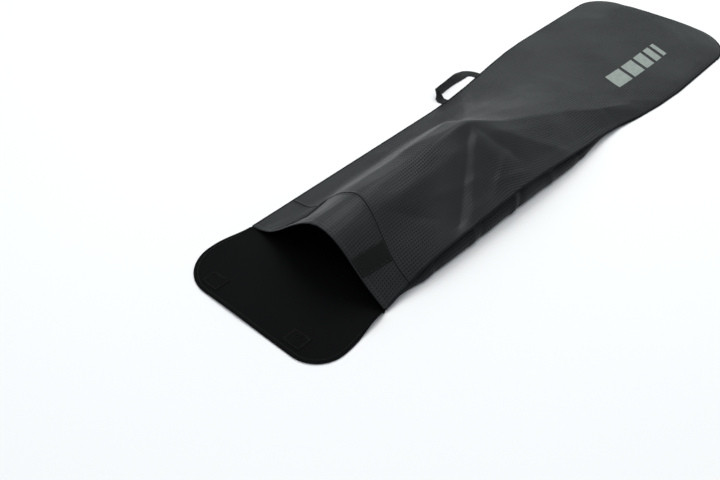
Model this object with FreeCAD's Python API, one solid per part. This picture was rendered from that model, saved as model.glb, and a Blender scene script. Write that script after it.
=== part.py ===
import math
import os

import FreeCAD
import Part

os.makedirs("parts", exist_ok=True)

V = FreeCAD.Vector

# Driving dimensions, in millimetres. s runs along the bag from the mouth (0) to the far end, c across it from
# the handle's side to the other side, z up from the floor. In the row frame X is s - HALF, Y is MIDDLE - c and
# Z is z.
LENGTH = 1560.0
HALF = LENGTH / 2
MIDDLE = 197.5
FABRIC = 1.2
GAP = 0.3
EDGE_GAP = 0.6
SEAM_W = 8.0
SEAM_T = 3.0
CORNER_LEFT = 100.0
CORNER_RIGHT = 150.0
HEM = 12.0
CUFF = 124.0
CUFF_SHORT = 78.0
FLAP_FOLD = 138.0
FLAP_START = 4.5
FOLD_GAP = 3.0
FLAP_LENGTH = 200.0
FLAP_CORNER = 70.0
FLAP_HEM = 10.0
FLAP_HEM_T = 2.4
PATCH_W = 46.0
PATCH_T = 1.4
PATCH_LOW = 0.8
PATCH_HIGH = 2.0
HOOK_LENGTH = 38.0
WEBBING_W = 26.0
WEBBING_T = 2.0
HANDLE_FRONT = 706.0
HANDLE_BACK = 864.0
HANDLE_REACH = 34.0
HANDLE_BENDS = (10.0, 24.0)
HANDLE_SPREAD = 8.0
HANDLE_LEAN = math.radians(112)
HANDLE_EASES = (0.45, 0.97)
HANDLE_Z = 0.6
TAB = 9.0
TAB_GAP = 0.5
MARK_T = 0.5

# Plan outline: (s, c) of the edge on the handle's side and of the other edge, and the height of the other
# edge's seam.
LEFT_EDGE = [(0, 0), (630, 0), (720, -4), (800, -12), (880, -23), (960, -34), (1040, -43), (1120, -47),
             (1560, -47)]
RIGHT_EDGE = [(0, 383), (100, 388), (200, 392), (400, 397), (500, 400), (660, 405), (830, 402), (900, 406),
              (980, 420), (1070, 432), (1170, 439), (1560, 439)]
RIGHT_LIFT = [(0, 6), (80, 22), (150, 40), (300, 48), (470, 54), (600, 44), (700, 33), (800, 17), (880, 6),
              (950, 0), (1560, 0)]

# Cross-sections of the upper side: s, then (c, z) of seven points from the foot of the slope on the handle's
# side, over the ridge, to just above the other seam.
SECTIONS = [
    (0, [(40, 9), (84, 40), (136, 84), (208, 131), (268, 102), (302, 70), (344, 34)]),
    (60, [(58, 9), (104, 42), (152, 98), (206, 130), (264, 106), (302, 77), (346, 45)]),
    (125, [(54, 9), (101, 52), (152, 105), (206, 128), (256, 111), (303, 79), (350, 56)]),
    (300, [(50, 11), (105, 62), (164, 115), (214, 134), (266, 119), (316, 89), (359, 66)]),
    (460, [(54, 14), (114, 75), (171, 129), (224, 154), (270, 131), (319, 98), (361, 72)]),
    (560, [(60, 16), (120, 54), (180, 92), (254, 121), (291, 107), (331, 83), (367, 63)]),
    (660, [(64, 14), (130, 41), (200, 71), (273, 90), (310, 77), (346, 61), (377, 48)]),
    (780, [(64, 12), (140, 29), (220, 48), (298, 59), (330, 48), (360, 37), (384, 27)]),
    (880, [(60, 11), (150, 20), (250, 32), (345, 39), (366, 29), (384, 19), (396, 12)]),
    (990, [(60, 10), (160, 15), (280, 20), (385, 19), (397, 14), (406, 10), (413, 6.5)]),
    (1150, [(40, 10), (140, 13), (240, 13), (320, 12), (380, 10), (412, 8), (428, 5.5)]),
    (1560, [(40, 7), (140, 8), (240, 8), (320, 8), (380, 7), (412, 6), (428, 4.5)]),
]

# How the lower panel turns up beyond its flat part: the share of the way out, the share of the way up, and
# how far the inward normal leans across.
FLAT_POLES = 13
TURNS = [(0.35, 0.0, 0.0), (0.75, 0.02, -0.25), (1.05, 0.12, -0.8), (1.25, 0.3, -1.0), (1.3, 0.5, -1.0),
         (1.2, 0.72, -1.0), (1.1, 0.88, -0.9), (1.0, 1.0, -0.7)]

# How finely the surfaces are laid out.
ACROSS = [i / 36 for i in range(37)]
ROW_STEP = 0.021
EDGE_STEP = 30.0
CORNER_STEPS = 12
HANDLE_STEPS = 72

# Rounding of the cross-sections' corners: its reach, in points of a section, and its weights.
SOFT = 0.45
SOFT_AT = (-1.0, -0.5, 0.0, 0.5, 1.0)
SOFT_BY = (1.0, 2.0, 3.0, 2.0, 1.0)

# Where the loop patches lie, as fractions of the way across, and the middles of the hook patches.
RIGHT_PATCH = (0.735, 0.835)
LEFT_PATCH = (0.165, 0.25)
HOOKS = (75.0, 311.0)
HOOK_START = FLAP_FOLD + FOLD_GAP + 4.0
HOOK_Z = 1.5

# Hem and seam folds above and below the cloth's outer face, and the sizes of the sewn lines.
FOLD_HIGH = 0.6
FOLD_LOW = -1.4
THREAD_W = 1.2
BORDER_T = 0.5
BORDER_V = 0.006

# The seams start just inside the mouth, where the bartacks cover them.
SEAM_START = 9.0
TACK_START = 1.2
TACK_LENGTH = 7.0
TACK_RISE = 0.8

# The printed mark: the near corner of the first bar, the bars' height and slant, the gaps and the widths.
MARK_S = 1050.0
MARK_C = 318.0
MARK_TALL = 58.0
MARK_LEAN = 26.0
MARK_GAP = 14.0
MARK_LIFT = 0.4
MARK_WIDTHS = (76.0, 58.0, 44.0, 30.0, 18.0)


def table(rows, s):
    """Straight-line interpolation in a list of (s, value)."""
    for (s0, a), (s1, b) in zip(rows, rows[1:]):
        if s <= s1:
            return a + (b - a) * (s - s0) / (s1 - s0)
    return rows[-1][1]


def corner(s, length, radius):
    """How far a rounded end corner pulls the edge in at s."""
    d = s - (length - radius)
    if d <= 0:
        return 0.0
    d = min(d, radius)
    return radius - math.sqrt(radius * radius - d * d)


def left_edge(s, inset=0.0):
    return table(LEFT_EDGE, s) + inset + corner(s, LENGTH - inset, CORNER_LEFT - inset)


def right_edge(s, inset=0.0):
    return table(RIGHT_EDGE, s) - inset - corner(s, LENGTH - inset, CORNER_RIGHT - inset)


def right_lift(s):
    return table(RIGHT_LIFT, s)


def section(s):
    """Nine points (fraction across, z) of the upper side's outer face at s, from seam to seam."""
    rows = []
    for at, points in SECTIONS:
        c0 = table(LEFT_EDGE, at)
        c1 = table(RIGHT_EDGE, at)
        row = [(0.0, SEAM_T)]
        for c, z in points:
            row.append(((c - c0) / (c1 - c0), z))
        row.append((1.0, SEAM_T + right_lift(at)))
        rows.append((at, row))
    for (s0, a), (s1, b) in zip(rows, rows[1:]):
        if s <= s1:
            k = (s - s0) / (s1 - s0)
            return [(p[0] + (q[0] - p[0]) * k, p[1] + (q[1] - p[1]) * k) for p, q in zip(a, b)]
    return rows[-1][1]


def across_at(cz, k):
    """The point at k on the broken line through the points cz, which lie at 0, 1, 2 and so on."""
    k = max(0.0, min(len(cz) - 1.0, k))
    i = min(int(k), len(cz) - 2)
    k -= i
    return (cz[i][0] + (cz[i + 1][0] - cz[i][0]) * k, cz[i][1] + (cz[i + 1][1] - cz[i][1]) * k)


def softened(cz, k):
    """The section's broken line at k, rounded off at its corners."""
    reach = min(SOFT, k, len(cz) - 1 - k)
    c = 0.0
    z = 0.0
    for at, by in zip(SOFT_AT, SOFT_BY):
        p = across_at(cz, k + at * reach)
        c += p[0] * by
        z += p[1] * by
    total = sum(SOFT_BY)
    return c / total, z / total


def upper(s, v, lift=0.0):
    """A point of the upper side's outer face, v from 0 to 1 across, raised along its normal by lift."""
    pts = section(s)[:-1] + [(1.0, SEAM_T + right_lift(s))]
    inset = SEAM_W + EDGE_GAP
    c0 = left_edge(s, inset)
    c1 = right_edge(s, inset)
    cz = [(c0 + (c1 - c0) * f, z) for f, z in pts]
    last = len(cz) - 1
    k = v * last
    c, z = softened(cz, k)
    if lift == 0.0:
        return V(s - HALF, MIDDLE - c, z)
    a = softened(cz, max(0.0, k - 0.15))
    b = softened(cz, min(float(last), k + 0.15))
    dc = b[0] - a[0]
    dz = b[1] - a[1]
    size = math.hypot(dc, dz)
    edge = min(1.0, min(v, 1 - v) * 8)
    nc = -dz / size * edge
    nz = math.sqrt(1 - nc * nc)
    return V(s - HALF, MIDDLE - (c + nc * lift), z + nz * lift)


def knots(n, degree):
    inner = n - degree - 1
    return [degree + 1] + [1] * inner + [degree + 1], [float(i) for i in range(inner + 2)]


def face(grid):
    """A clamped B-spline face whose poles are the grid."""
    nu = len(grid)
    nv = len(grid[0])
    du = min(3, nu - 1)
    dv = min(3, nv - 1)
    um, uk = knots(nu, du)
    vm, vk = knots(nv, dv)
    surface = Part.BSplineSurface()
    surface.buildFromPolesMultsKnots(grid, um, vm, uk, vk, False, False, du, dv)
    return surface.toShape()


def strip(row_a, row_b):
    return face([row_a, row_b])


def plane_face(grid):
    """A plane face with the same four edges as the B-spline face of a flat grid."""
    return Part.Face(Part.Wire(Part.__sortEdges__(face(grid).Edges)))


def closed(faces):
    """A solid sewn from faces that share their edges."""
    shell = Part.Shell(faces)
    shell.sewShape()
    solid = Part.Solid(shell)
    if solid.Volume < 0:
        solid = solid.reversed()
    return solid


def slab(top, bottom):
    """A closed solid between two grids of the same size."""
    faces = [face(top), face(bottom)]
    faces.append(strip(top[0], bottom[0]))
    faces.append(strip(top[-1], bottom[-1]))
    faces.append(strip([r[0] for r in top], [r[0] for r in bottom]))
    faces.append(strip([r[-1] for r in top], [r[-1] for r in bottom]))
    return closed(faces)


def spaced(a, b, step):
    n = max(3, int(math.ceil(abs(b - a) / step)))
    return [a + (b - a) * i / n for i in range(n + 1)]


def cuff_line(v):
    """Where the cuff seam lies along the bag; the cuff is shorter towards the side opposite the handle."""
    t = max(0.0, min(1.0, (v - 0.45) / 0.5))
    t = t * t * (3 - 2 * t)
    return CUFF + (CUFF_SHORT - CUFF) * t


def along(s):
    """A line straight across the upper side at s."""
    return lambda v: s


def before_seam(d):
    """A line across the upper side that stays d in front of the cuff seam."""
    return lambda v: cuff_line(v) - d


def upper_piece(start, stop, rows, high, low, across=ACROSS):
    """A piece of the upper side between two lines s = start(v) and s = stop(v)."""
    top = []
    bottom = []
    for i in range(rows + 1):
        t = i / rows
        top.append([upper(start(v) + (stop(v) - start(v)) * t, v, high) for v in across])
        bottom.append([upper(start(v) + (stop(v) - start(v)) * t, v, low) for v in across])
    return slab(top, bottom)


def top_panel():
    """From the cuff seam to the far end; rows crowd together round the end corners."""
    end = LENGTH - SEAM_W - EDGE_GAP
    straight = end - CORNER_RIGHT
    stops = [t * straight for t in spaced(0.0, 1.0, ROW_STEP)]
    for i in range(1, CORNER_STEPS + 1):
        stops.append(straight + CORNER_RIGHT * math.sin(math.pi / 2 * i / CORNER_STEPS))
    top = []
    bottom = []
    for s in stops:
        row_top = []
        row_bottom = []
        for v in ACROSS:
            start = cuff_line(v) + 4.5
            at = start + s * (end - start) / end
            row_top.append(upper(at, v, 0.0))
            row_bottom.append(upper(at, v, -FABRIC))
        top.append(row_top)
        bottom.append(row_bottom)
    return slab(top, bottom)


def wrap(s):
    """Lower side at s: (c, z) of the outer face and its inward normal, from seam to seam."""
    inset = SEAM_W + EDGE_GAP
    c0 = left_edge(s, inset)
    c1 = right_edge(s, inset)
    h = right_lift(s)
    q = min(1.0, h / 30.0)
    out = []
    flat_to = c1 - 4 - 16 * q
    for i in range(FLAT_POLES):
        out.append((c0 + (flat_to - c0) * i / (FLAT_POLES - 1), 0.0, 0.0, 1.0))
    for i, (f, g, nc) in enumerate(TURNS):
        nc = nc * q
        reach = f * q + (i + 1) / len(TURNS) * (1 - q)
        out.append((flat_to + (c1 - flat_to) * reach, h * g, nc, math.sqrt(1 - nc * nc)))
    return out


def bottom_panel():
    """Lies on the floor and turns up the side opposite the handle to meet the seam."""
    end = LENGTH - SEAM_W - EDGE_GAP
    stops = spaced(2.0, end - CORNER_RIGHT, EDGE_STEP)
    for i in range(1, CORNER_STEPS + 1):
        stops.append(end - CORNER_RIGHT + CORNER_RIGHT * math.sin(math.pi / 2 * i / CORNER_STEPS))
    top = []
    bottom = []
    for s in stops:
        rows = wrap(s)
        bottom.append([V(s - HALF, MIDDLE - c, z) for c, z, nc, nz in rows])
        top.append([V(s - HALF, MIDDLE - c - nc * FABRIC, z + nz * FABRIC) for c, z, nc, nz in rows])
    flat = slice(0, FLAT_POLES)
    turned = slice(FLAT_POLES - 1, None)
    faces = []
    for part, make in ((flat, plane_face), (turned, face)):
        high = [row[part] for row in top]
        low = [row[part] for row in bottom]
        faces += [make(high), make(low), strip(high[0], low[0]), strip(high[-1], low[-1])]
    faces.append(strip([row[0] for row in top], [row[0] for row in bottom]))
    faces.append(strip([row[-1] for row in top], [row[-1] for row in bottom]))
    return closed(faces)


def bar_along(path, high, low):
    """A flat strip along a path, a list of (inner point, outer point, base z)."""
    top = []
    bottom = []
    for a, b, z in path:
        top.append([V(a[0] - HALF, MIDDLE - a[1], z + high), V(b[0] - HALF, MIDDLE - b[1], z + high)])
        bottom.append([V(a[0] - HALF, MIDDLE - a[1], z + low), V(b[0] - HALF, MIDDLE - b[1], z + low)])
    return slab(top, bottom)


def side_seam_left():
    rows = []
    for s in spaced(SEAM_START, LENGTH - CORNER_LEFT - GAP, EDGE_STEP):
        rows.append(((s, left_edge(s, SEAM_W)), (s, left_edge(s)), 0.0))
    return bar_along(rows, SEAM_T, 0.0)


def side_seam_right():
    rows = []
    for s in spaced(SEAM_START, LENGTH - CORNER_RIGHT - GAP, EDGE_STEP):
        rows.append(((s, right_edge(s, SEAM_W)), (s, right_edge(s)), right_lift(s)))
    return bar_along(rows, SEAM_T, 0.0)


def end_seam():
    """Round one corner, across the end and round the other corner."""
    left = table(LEFT_EDGE, LENGTH) + CORNER_LEFT
    right = table(RIGHT_EDGE, LENGTH) - CORNER_RIGHT
    turn = [math.pi / 2 * i / CORNER_STEPS for i in range(CORNER_STEPS + 1)]
    rows = []
    for a in turn:
        rows.append(corner_row(left, CORNER_LEFT, -1, a))
    for c in spaced(left, right, EDGE_STEP)[1:-1]:
        rows.append(((LENGTH - SEAM_W, c), (LENGTH, c), 0.0))
    for a in reversed(turn):
        rows.append(corner_row(right, CORNER_RIGHT, 1, a))
    return bar_along(rows, SEAM_T, 0.0)


def corner_row(middle, radius, side, angle):
    """The seam's inner and outer point at an angle round a corner of the far end."""
    points = []
    for r in (radius - SEAM_W, radius):
        points.append((LENGTH - radius + r * math.sin(angle), middle + side * r * math.cos(angle)))
    return points[0], points[1], 0.0


def mouth_bartack(side):
    """A dense tack across the seam at the mouth's corner."""
    if side == "left":
        c0 = left_edge(0)
        z = 0.4
        c = (c0, c0 + SEAM_W)
    else:
        c1 = right_edge(0)
        z = right_lift(TACK_START + TACK_LENGTH / 2)
        c = (c1 - SEAM_W + 1.0, c1)
    return box_at(TACK_START, TACK_START + TACK_LENGTH, c[0], c[1], z, z + SEAM_T + TACK_RISE)


def loop_patch(v0, v1):
    """A patch on the cuff from hem to seam between two lines across."""
    across = [v0 + (v1 - v0) * i / 8 for i in range(9)]
    return upper_piece(along(HEM + 1.5), before_seam(6.0), 6, PATCH_HIGH, PATCH_LOW, across)


def ease(t):
    t = max(0.0, min(1.0, t))
    return t * t * (3 - 2 * t)


def flap_half(s, side, inset=0.0):
    """The flap's side edge at distance s from the mouth; it widens a little and has rounded corners."""
    wide = left_edge(0) - 14 * ease(s / 80.0)
    if side > 0:
        wide = right_edge(0) + 20 * ease(s / 125.0)
    pull = 0.0
    if s > FLAP_LENGTH - FLAP_CORNER:
        pull = corner(s, FLAP_LENGTH - inset, FLAP_CORNER - inset)
    return wide - side * (inset + pull)


def flap_sheet(s0, s1):
    """The flap's cloth inside its hems, from s0 to s1 in front of the mouth."""
    inset = FLAP_HEM + EDGE_GAP
    rim = FLAP_LENGTH - FLAP_CORNER
    stops = [s0]
    if s0 < rim:
        stops = spaced(s0, min(s1, rim), 16.0)
    if s1 > rim:
        for i in range(1, CORNER_STEPS + 1):
            s = rim + (s1 - rim) * math.sin(math.pi / 2 * i / CORNER_STEPS)
            if s > s0:
                stops.append(s)
    top = []
    bottom = []
    for s in stops:
        a = flap_half(s, -1, inset)
        b = flap_half(s, 1, inset)
        line = [a + (b - a) * i / 12 for i in range(13)]
        top.append([V(-s - HALF, MIDDLE - c, FABRIC) for c in line])
        bottom.append([V(-s - HALF, MIDDLE - c, 0.0) for c in line])
    return slab(top, bottom)


def flap_side_hem(side):
    rows = []
    for s in spaced(FLAP_START, FLAP_FOLD - FOLD_GAP, 8.0):
        rows.append(((-s, flap_half(s, side, FLAP_HEM)), (-s, flap_half(s, side)), 0.0))
    return bar_along(rows, FLAP_HEM_T, 0.0)


def flap_tip_hem():
    """One turned hem round the flap's tip: up one side, round both corners and down the other."""
    rows = []
    rim = FLAP_LENGTH - FLAP_CORNER
    r0 = FLAP_CORNER - FLAP_HEM
    r1 = FLAP_CORNER
    first = math.asin((FLAP_FOLD + FOLD_GAP - rim) / FLAP_CORNER)
    turn = [first + (math.pi / 2 - first) * i / CORNER_STEPS for i in range(CORNER_STEPS + 1)]
    for side, order in ((-1, turn), (1, turn[::-1])):
        c = flap_half(rim, side, FLAP_CORNER)
        for a in order:
            inner = (-(rim + r0 * math.sin(a)), c + side * r0 * math.cos(a))
            outer = (-(rim + r1 * math.sin(a)), c + side * r1 * math.cos(a))
            rows.append((inner, outer, 0.0))
        if side < 0:
            far = flap_half(rim, 1, FLAP_CORNER)
            for w in spaced(c, far, EDGE_STEP)[1:-1]:
                rows.append(((-(FLAP_LENGTH - FLAP_HEM), w), (-FLAP_LENGTH, w), 0.0))
    return bar_along(rows, FLAP_HEM_T, 0.0)


def box_at(s0, s1, c0, c1, z0, z1):
    box = Part.makeBox(s1 - s0, c1 - c0, z1 - z0)
    box.translate(V(s0 - HALF, MIDDLE - c1, z0))
    return box


def hook_patch(centre):
    low = centre - PATCH_W / 2
    return box_at(-HOOK_START - HOOK_LENGTH, -HOOK_START, low, low + PATCH_W, HOOK_Z, HOOK_Z + PATCH_T)


def handle_axes():
    """The handle's front end on the seam, the directions along and away from it, and the handle's span."""
    front = V(HANDLE_FRONT - HALF, MIDDLE - left_edge(HANDLE_FRONT), 0)
    back = V(HANDLE_BACK - HALF, MIDDLE - left_edge(HANDLE_BACK), 0)
    along = (back - front).normalize()
    return front, along, V(-along.y, along.x, 0), (back - front).Length


def handle_frame(t):
    """Centre, width direction and thickness direction of the webbing at t from 0 to 1."""
    front, along, out, span = handle_axes()
    start = TAB + GAP
    legs = [HANDLE_REACH - start - r for r in HANDLE_BENDS]
    arcs = [r * math.pi / 2 for r in HANDLE_BENDS]
    straight = span + 2 * HANDLE_SPREAD - sum(HANDLE_BENDS)
    total = sum(legs) + sum(arcs) + straight
    d = t * total
    back = total - d
    if d < legs[0]:
        p = (0.0, start + d)
        heading = math.pi / 2
    elif d < legs[0] + arcs[0]:
        r = HANDLE_BENDS[0]
        a = (d - legs[0]) / r
        p = (r - r * math.cos(a), HANDLE_REACH - r + r * math.sin(a))
        heading = math.pi / 2 - a
    elif back > legs[1] + arcs[1]:
        p = (HANDLE_BENDS[0] + d - legs[0] - arcs[0], HANDLE_REACH)
        heading = 0.0
    elif back > legs[1]:
        r = HANDLE_BENDS[1]
        a = (arcs[1] + legs[1] - back) / r
        p = (HANDLE_BENDS[0] + straight + r * math.sin(a), HANDLE_REACH - r + r * math.cos(a))
        heading = -a
    else:
        p = (sum(HANDLE_BENDS) + straight, start + back)
        heading = -math.pi / 2
    tangent = along * math.cos(heading) + out * math.sin(heading)
    level = along * math.sin(heading) - out * math.cos(heading)
    twist = HANDLE_LEAN * ease(d / (legs[0] + arcs[0]))
    twist += (math.pi - HANDLE_LEAN) * ease((t - HANDLE_EASES[0]) / (HANDLE_EASES[1] - HANDLE_EASES[0]))
    width = level * math.cos(twist) + V(0, 0, 1) * math.sin(twist)
    normal = tangent.cross(width)
    centre = front + along * (p[0] - HANDLE_SPREAD) + out * p[1]
    centre.z = HANDLE_Z + abs(width.z) * WEBBING_W / 2 + abs(normal.z) * WEBBING_T / 2
    return centre, width, normal


def handle_webbing():
    top = []
    bottom = []
    for i in range(HANDLE_STEPS + 1):
        centre, width, normal = handle_frame(i / HANDLE_STEPS)
        top.append([centre + width * (WEBBING_W / 2 * k) + normal * (WEBBING_T / 2) for k in (-1, 0, 1)])
        bottom.append([centre + width * (WEBBING_W / 2 * k) - normal * (WEBBING_T / 2) for k in (-1, 0, 1)])
    return slab(top, bottom)


def handle_tab(t):
    """The webbing's end, sewn into the side seam, in line with the loop's end."""
    centre = handle_frame(t)[0]
    along, out = handle_axes()[1:3]
    rows = []
    for k in (-1, 1):
        root = centre + along * (WEBBING_W / 2 * k)
        s = root.x + HALF
        edge = MIDDLE - left_edge(s) + 0.5
        rows.append((V(root.x, edge, 0), root - out * TAB_GAP))
    top = [[V(p.x, p.y, HANDLE_Z + WEBBING_T) for p in row] for row in rows]
    bottom = [[V(p.x, p.y, HANDLE_Z) for p in row] for row in rows]
    return slab(top, bottom)


def handle_bartacks():
    """Two dense tacks on the side seam, one over each sewn-in webbing end."""
    tacks = []
    for t in (0.0, 1.0):
        s = handle_frame(t)[0].x + HALF
        rows = []
        for d in (-12.0, 12.0):
            c = left_edge(s + d)
            rows.append(((s + d, c + 6.0), (s + d, c + 2.0), SEAM_T + GAP))
        tacks.append(bar_along(rows, 0.8, 0.0))
    return Part.makeCompound(tacks)


def cuff_stitching():
    """Two rows of top-stitching on the cuff seam."""
    rows = []
    for d in (2.4, -1.2):
        rows.append(upper_piece(before_seam(d), before_seam(d - THREAD_W), 1, 1.9, 1.3))
    return Part.makeCompound(rows)


def patch_border(v0, v1):
    """A sewn line round a loop patch, as four thin bars on its face; BORDER_V is 2.4 mm across."""
    low = PATCH_HIGH + GAP
    high = low + BORDER_T
    wide = [v0 + BORDER_V + (v1 - v0 - 2 * BORDER_V) * i / 8 for i in range(9)]
    bars = []
    bars.append(upper_piece(along(HEM + 4.0), along(HEM + 5.0), 1, high, low, wide))
    bars.append(upper_piece(before_seam(9.0), before_seam(8.0), 1, high, low, wide))
    for v in (v0 + BORDER_V, v1 - 1.5 * BORDER_V):
        thin = [v, v + BORDER_V / 4, v + BORDER_V / 2]
        bars.append(upper_piece(along(HEM + 5.3), before_seam(9.3), 6, high, low, thin))
    return bars


def hook_border(centre):
    """A sewn line round a hook patch, 3 mm in, as four thin bars 1 mm wide on its face."""
    z0 = HOOK_Z + PATCH_T + GAP
    z1 = z0 + BORDER_T
    a = centre - PATCH_W / 2 + 3
    b = centre + PATCH_W / 2 - 3
    s0 = -HOOK_START - HOOK_LENGTH + 3
    s1 = -HOOK_START - 3
    bars = []
    bars.append(box_at(s0, s1, a, a + 1, z0, z1))
    bars.append(box_at(s0, s1, b - 1, b, z0, z1))
    bars.append(box_at(s0, s0 + 1, a + 1 + GAP, b - 1 - GAP, z0, z1))
    bars.append(box_at(s1 - 1, s1, a + 1 + GAP, b - 1 - GAP, z0, z1))
    return bars


def on_panel(s, c):
    """A point of the upper side near (s, c) in plan, found by walking across the section."""
    lo = 0.0
    hi = 1.0
    for i in range(40):
        mid = (lo + hi) / 2
        if MIDDLE - upper(s, mid).y < c:
            lo = mid
        else:
            hi = mid
    return upper(s, (lo + hi) / 2)


def mark_piece(corners):
    """A flat printed shape with four corners (s, c), laid just over the panel."""
    (a, b, c, d) = corners
    top = []
    bottom = []
    for i in range(7):
        t = i / 6
        row_top = []
        row_bottom = []
        for j in range(4):
            k = j / 3
            s = (a[0] * (1 - k) + b[0] * k) * (1 - t) + (d[0] * (1 - k) + c[0] * k) * t
            w = (a[1] * (1 - k) + b[1] * k) * (1 - t) + (d[1] * (1 - k) + c[1] * k) * t
            p = on_panel(s, w)
            row_bottom.append(V(p.x, p.y, p.z + MARK_LIFT))
            row_top.append(V(p.x, p.y, p.z + MARK_LIFT + MARK_T))
        top.append(row_top)
        bottom.append(row_bottom)
    return slab(top, bottom)


def mark(number):
    """One of a row of leaning bars, each narrower than the last."""
    s0 = MARK_S + sum(MARK_WIDTHS[:number]) + MARK_GAP * number
    s1 = s0 + MARK_WIDTHS[number]
    return mark_piece([(s0, MARK_C), (s1, MARK_C), (s1 + MARK_LEAN, MARK_C - MARK_TALL),
                       (s0 + MARK_LEAN, MARK_C - MARK_TALL)])


def main():
    parts = {}
    parts["bottom_panel"] = bottom_panel()
    parts["top_panel"] = top_panel()
    parts["mouth_hem"] = upper_piece(along(0.0), along(HEM), 1, FOLD_HIGH, FOLD_LOW)
    parts["mouth_cuff"] = upper_piece(along(HEM + GAP), before_seam(4.5), 6, 0.0, -FABRIC)
    parts["cuff_seam"] = upper_piece(before_seam(4.0), before_seam(-4.0), 1, FOLD_HIGH + 0.2, FOLD_LOW)
    parts["cuff_stitching"] = cuff_stitching()
    parts["side_seam_left"] = side_seam_left()
    parts["side_seam_right"] = side_seam_right()
    parts["end_seam"] = end_seam()
    parts["mouth_bartack_left"] = mouth_bartack("left")
    parts["mouth_bartack_right"] = mouth_bartack("right")
    parts["loop_patch_right"] = loop_patch(*RIGHT_PATCH)
    parts["loop_patch_left"] = loop_patch(*LEFT_PATCH)
    parts["loop_stitching"] = Part.makeCompound(patch_border(*RIGHT_PATCH) + patch_border(*LEFT_PATCH))
    parts["flap_base_panel"] = flap_sheet(FLAP_START, FLAP_FOLD - FOLD_GAP)
    parts["flap_base_hem_left"] = flap_side_hem(-1)
    parts["flap_base_hem_right"] = flap_side_hem(1)
    parts["flap_tip_panel"] = flap_sheet(FLAP_FOLD + FOLD_GAP, FLAP_LENGTH - FLAP_HEM - EDGE_GAP)
    parts["flap_tip_hem"] = flap_tip_hem()
    parts["hook_patch_left"] = hook_patch(HOOKS[0])
    parts["hook_patch_right"] = hook_patch(HOOKS[1])
    parts["hook_stitching"] = Part.makeCompound(hook_border(HOOKS[0]) + hook_border(HOOKS[1]))
    parts["handle_webbing"] = handle_webbing()
    parts["handle_tab_front"] = handle_tab(0.0)
    parts["handle_tab_back"] = handle_tab(1.0)
    parts["handle_bartacks"] = handle_bartacks()
    for i in range(len(MARK_WIDTHS)):
        parts["mark_bar_%d" % (i + 1)] = mark(i)
    for name, shape in parts.items():
        solids = shape.Solids
        bad = [s for s in solids if not s.isValid() or s.Volume <= 0]
        volume = sum(s.Volume for s in solids) / 1000.0
        print(name, len(solids), "bad" if bad else "ok", round(volume, 3), "cm3")
        shape.exportStep("parts/" + name + ".step")


main()
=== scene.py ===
import math

import bpy
import numpy as np
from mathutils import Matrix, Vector, noise


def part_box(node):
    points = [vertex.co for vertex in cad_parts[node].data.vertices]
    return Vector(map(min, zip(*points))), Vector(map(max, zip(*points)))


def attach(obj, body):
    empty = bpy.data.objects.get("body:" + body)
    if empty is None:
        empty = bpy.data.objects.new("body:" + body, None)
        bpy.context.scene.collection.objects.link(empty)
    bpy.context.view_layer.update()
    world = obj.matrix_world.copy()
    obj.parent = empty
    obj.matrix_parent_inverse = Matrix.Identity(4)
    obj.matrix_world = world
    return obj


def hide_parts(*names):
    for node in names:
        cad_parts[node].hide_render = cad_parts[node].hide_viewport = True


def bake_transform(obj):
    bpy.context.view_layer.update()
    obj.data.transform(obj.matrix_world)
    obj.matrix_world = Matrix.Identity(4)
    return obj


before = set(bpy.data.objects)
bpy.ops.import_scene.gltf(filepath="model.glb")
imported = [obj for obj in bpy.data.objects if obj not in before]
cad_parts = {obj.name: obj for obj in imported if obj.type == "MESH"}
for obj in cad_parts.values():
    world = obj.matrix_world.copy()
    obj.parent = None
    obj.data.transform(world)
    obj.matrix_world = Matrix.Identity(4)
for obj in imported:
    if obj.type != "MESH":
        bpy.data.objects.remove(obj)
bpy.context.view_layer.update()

# The bag's own coordinates, in millimetres: s runs along it from the mouth to the far end, c across it
# from the handle's edge, z up. The frame's X = s - HALF, Y = MIDDLE - c. Left is the handle's side.
# The panels stop PANEL_INSET inside the outline. The cuff is CUFF deep on the left and CUFF_SHORT deep on
# the right. FLAP_CORNERS and FLAP_WIDENS are for the flap's left (-1) and right (1) side: the corner's
# radius, and how much wider it gets over what distance. The flap's right edge curls up by CURL radians
# over its last CURL_REACH.
MM = 0.001
LENGTH = 1560.0
HALF = LENGTH / 2
MIDDLE = 197.5
SEAM_T = 3.0
PANEL_INSET = 5.0
CORNER_LEFT = 100.0
CORNER_RIGHT = 150.0
HEM = 9.0
CUFF = 124.0
CUFF_SHORT = 78.0
FLAP_LENGTH = 200.0
FLAP_CORNERS = {-1: 96.0, 1: 70.0}
FLAP_WIDENS = {-1: (12.0, 90.0), 1: (14.0, 125.0)}
FLAP_ROOT = 34.0
CURL = 1.55
CURL_REACH = 18.0
UP = (0.0, 0.0, 1.0)
CLOTH_T = 0.8

# The sack's outline: s, then c, of the handle's edge and of the other edge, and s, then z, of the seam
# along that other edge, which the lower panel wraps up to.
LEFT_EDGE = ((0, 630, 720, 800, 880, 960, 1040, 1120, 1560),
             (0, 0, -4, -12, -23, -34, -43, -47, -47))
RIGHT_EDGE = ((0, 50, 110, 200, 400, 500, 660, 830, 900, 980, 1070, 1170, 1560),
              (389, 387, 388, 392, 397, 400, 405, 402, 406, 420, 432, 439, 439))
RIGHT_LIFT = ((0, 80, 150, 300, 470, 600, 700, 800, 880, 950, 1560),
              (3, 20, 40, 48, 54, 44, 33, 17, 6, 0, 0))
LIFT_SOFTENING = (-30.0, -15.0, 0.0, 15.0, 30.0)

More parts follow.
